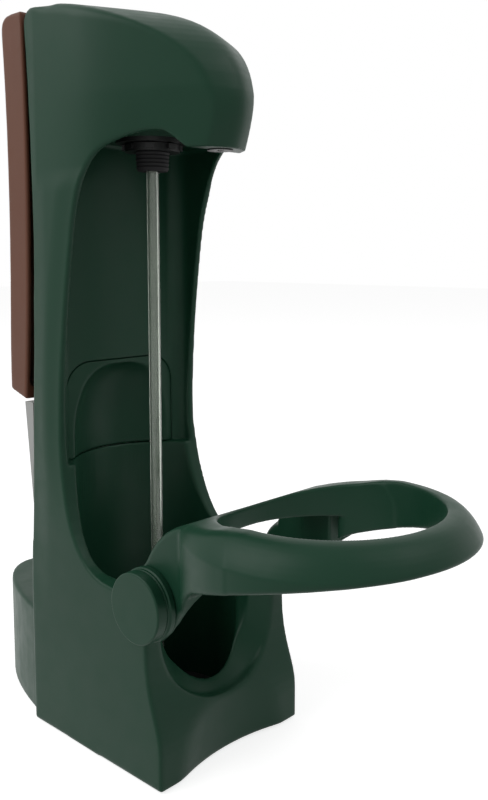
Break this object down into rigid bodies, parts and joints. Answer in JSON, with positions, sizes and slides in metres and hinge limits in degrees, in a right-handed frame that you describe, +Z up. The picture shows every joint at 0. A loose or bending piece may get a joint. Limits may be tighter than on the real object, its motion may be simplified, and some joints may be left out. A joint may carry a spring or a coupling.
{
  "type": "manual cider pourer",
  "caption": "Free-standing hand pump that holds a cider bottle upright and pours it through an overhead spout into a glass held tilted in a folding ring.",
  "frame": {"origin": "on the table under the middle of the whole object", "axes": "+X to the right for someone who faces its front, -Y to the front where the glass ring is, +Y to the rear lever and tail, +Z up"},
  "size_m": [0.13, 0.3013, 0.3629],
  "materials": {
    "green_shell": "satin dark green moulding",
    "brown_lever": "satin red-brown moulding",
    "grey_panel": "light grey moulding",
    "grey_chassis": "grey moulding",
    "black_plastic": "black moulding",
    "steel": "plain steel",
    "brass": "turned brass",
    "black_rubber": "matte rubber",
    "clear_tube": "translucent food-grade plastic",
    "nylon": "natural nylon"
  },
  "bodies": {
    "housing": {"body_shell": "green_shell", "bottle_cradle": "green_shell", "rear_panel": "grey_panel", "base_plate": "black_plastic", "rubber_feet": "black_rubber", "bottle_pad": "black_rubber", "base_screws": "steel", "cradle_screws": "steel", "panel_screws": "steel", "yoke_washers": "nylon", "pivot_inserts": "brass", "pump_chassis": "grey_chassis", "chassis_screws": "steel", "bellows": "black_rubber", "bellows_ring": "black_plastic", "return_spring": "steel", "intake_valve": "black_rubber", "check_valve": "clear_tube", "air_hose": "clear_tube", "stopper_socket": "black_plastic", "socket_nut": "black_plastic", "delivery_hose": "clear_tube", "spout_nozzle": "black_plastic", "hose_clips": "steel"},
    "yoke": {"glass_yoke": "green_shell"},
    "left_knob": {"knob_left": "green_shell", "knob_stud_left": "steel"},
    "right_knob": {"knob_right": "green_shell", "knob_stud_right": "steel"},
    "lever": {"pump_lever": "brown_lever", "lever_pin": "steel", "pin_clips": "steel", "push_pad": "black_rubber"},
    "stopper": {"stopper_collar": "black_plastic", "stopper_seal": "black_rubber", "stopper_plug": "black_rubber", "dip_tube": "clear_tube"}
  },
  "joints": [
    {"name": "ring_fold", "type": "hinge", "parent": "housing", "child": "yoke", "pos_m": [0, -0.02125, 0.09], "axis": [-1, 0, 0], "range_deg": [-20, 72]},
    {"name": "left_knob_turn", "type": "hinge", "parent": "housing", "child": "left_knob", "pos_m": [-0.052, -0.02125, 0.09], "axis": [-1, 0, 0], "range_deg": [0, 270]},
    {"name": "right_knob_turn", "type": "hinge", "parent": "housing", "child": "right_knob", "pos_m": [0.052, -0.02125, 0.09], "axis": [1, 0, 0], "range_deg": [0, 270]},
    {"name": "lever_squeeze", "type": "hinge", "parent": "housing", "child": "lever", "pos_m": [0, 0.08095, 0.3479], "axis": [-1, 0, 0], "range_deg": [0, 2.2], "stiffness_Nm_per_rad": 45, "springref_deg": -0.57, "deforming": ["bellows", "return_spring"]},
    {"name": "stopper_pull", "type": "slide", "parent": "housing", "child": "stopper", "axis": [0, 0, -1], "range_m": [0, 0.005]}
  ]
}
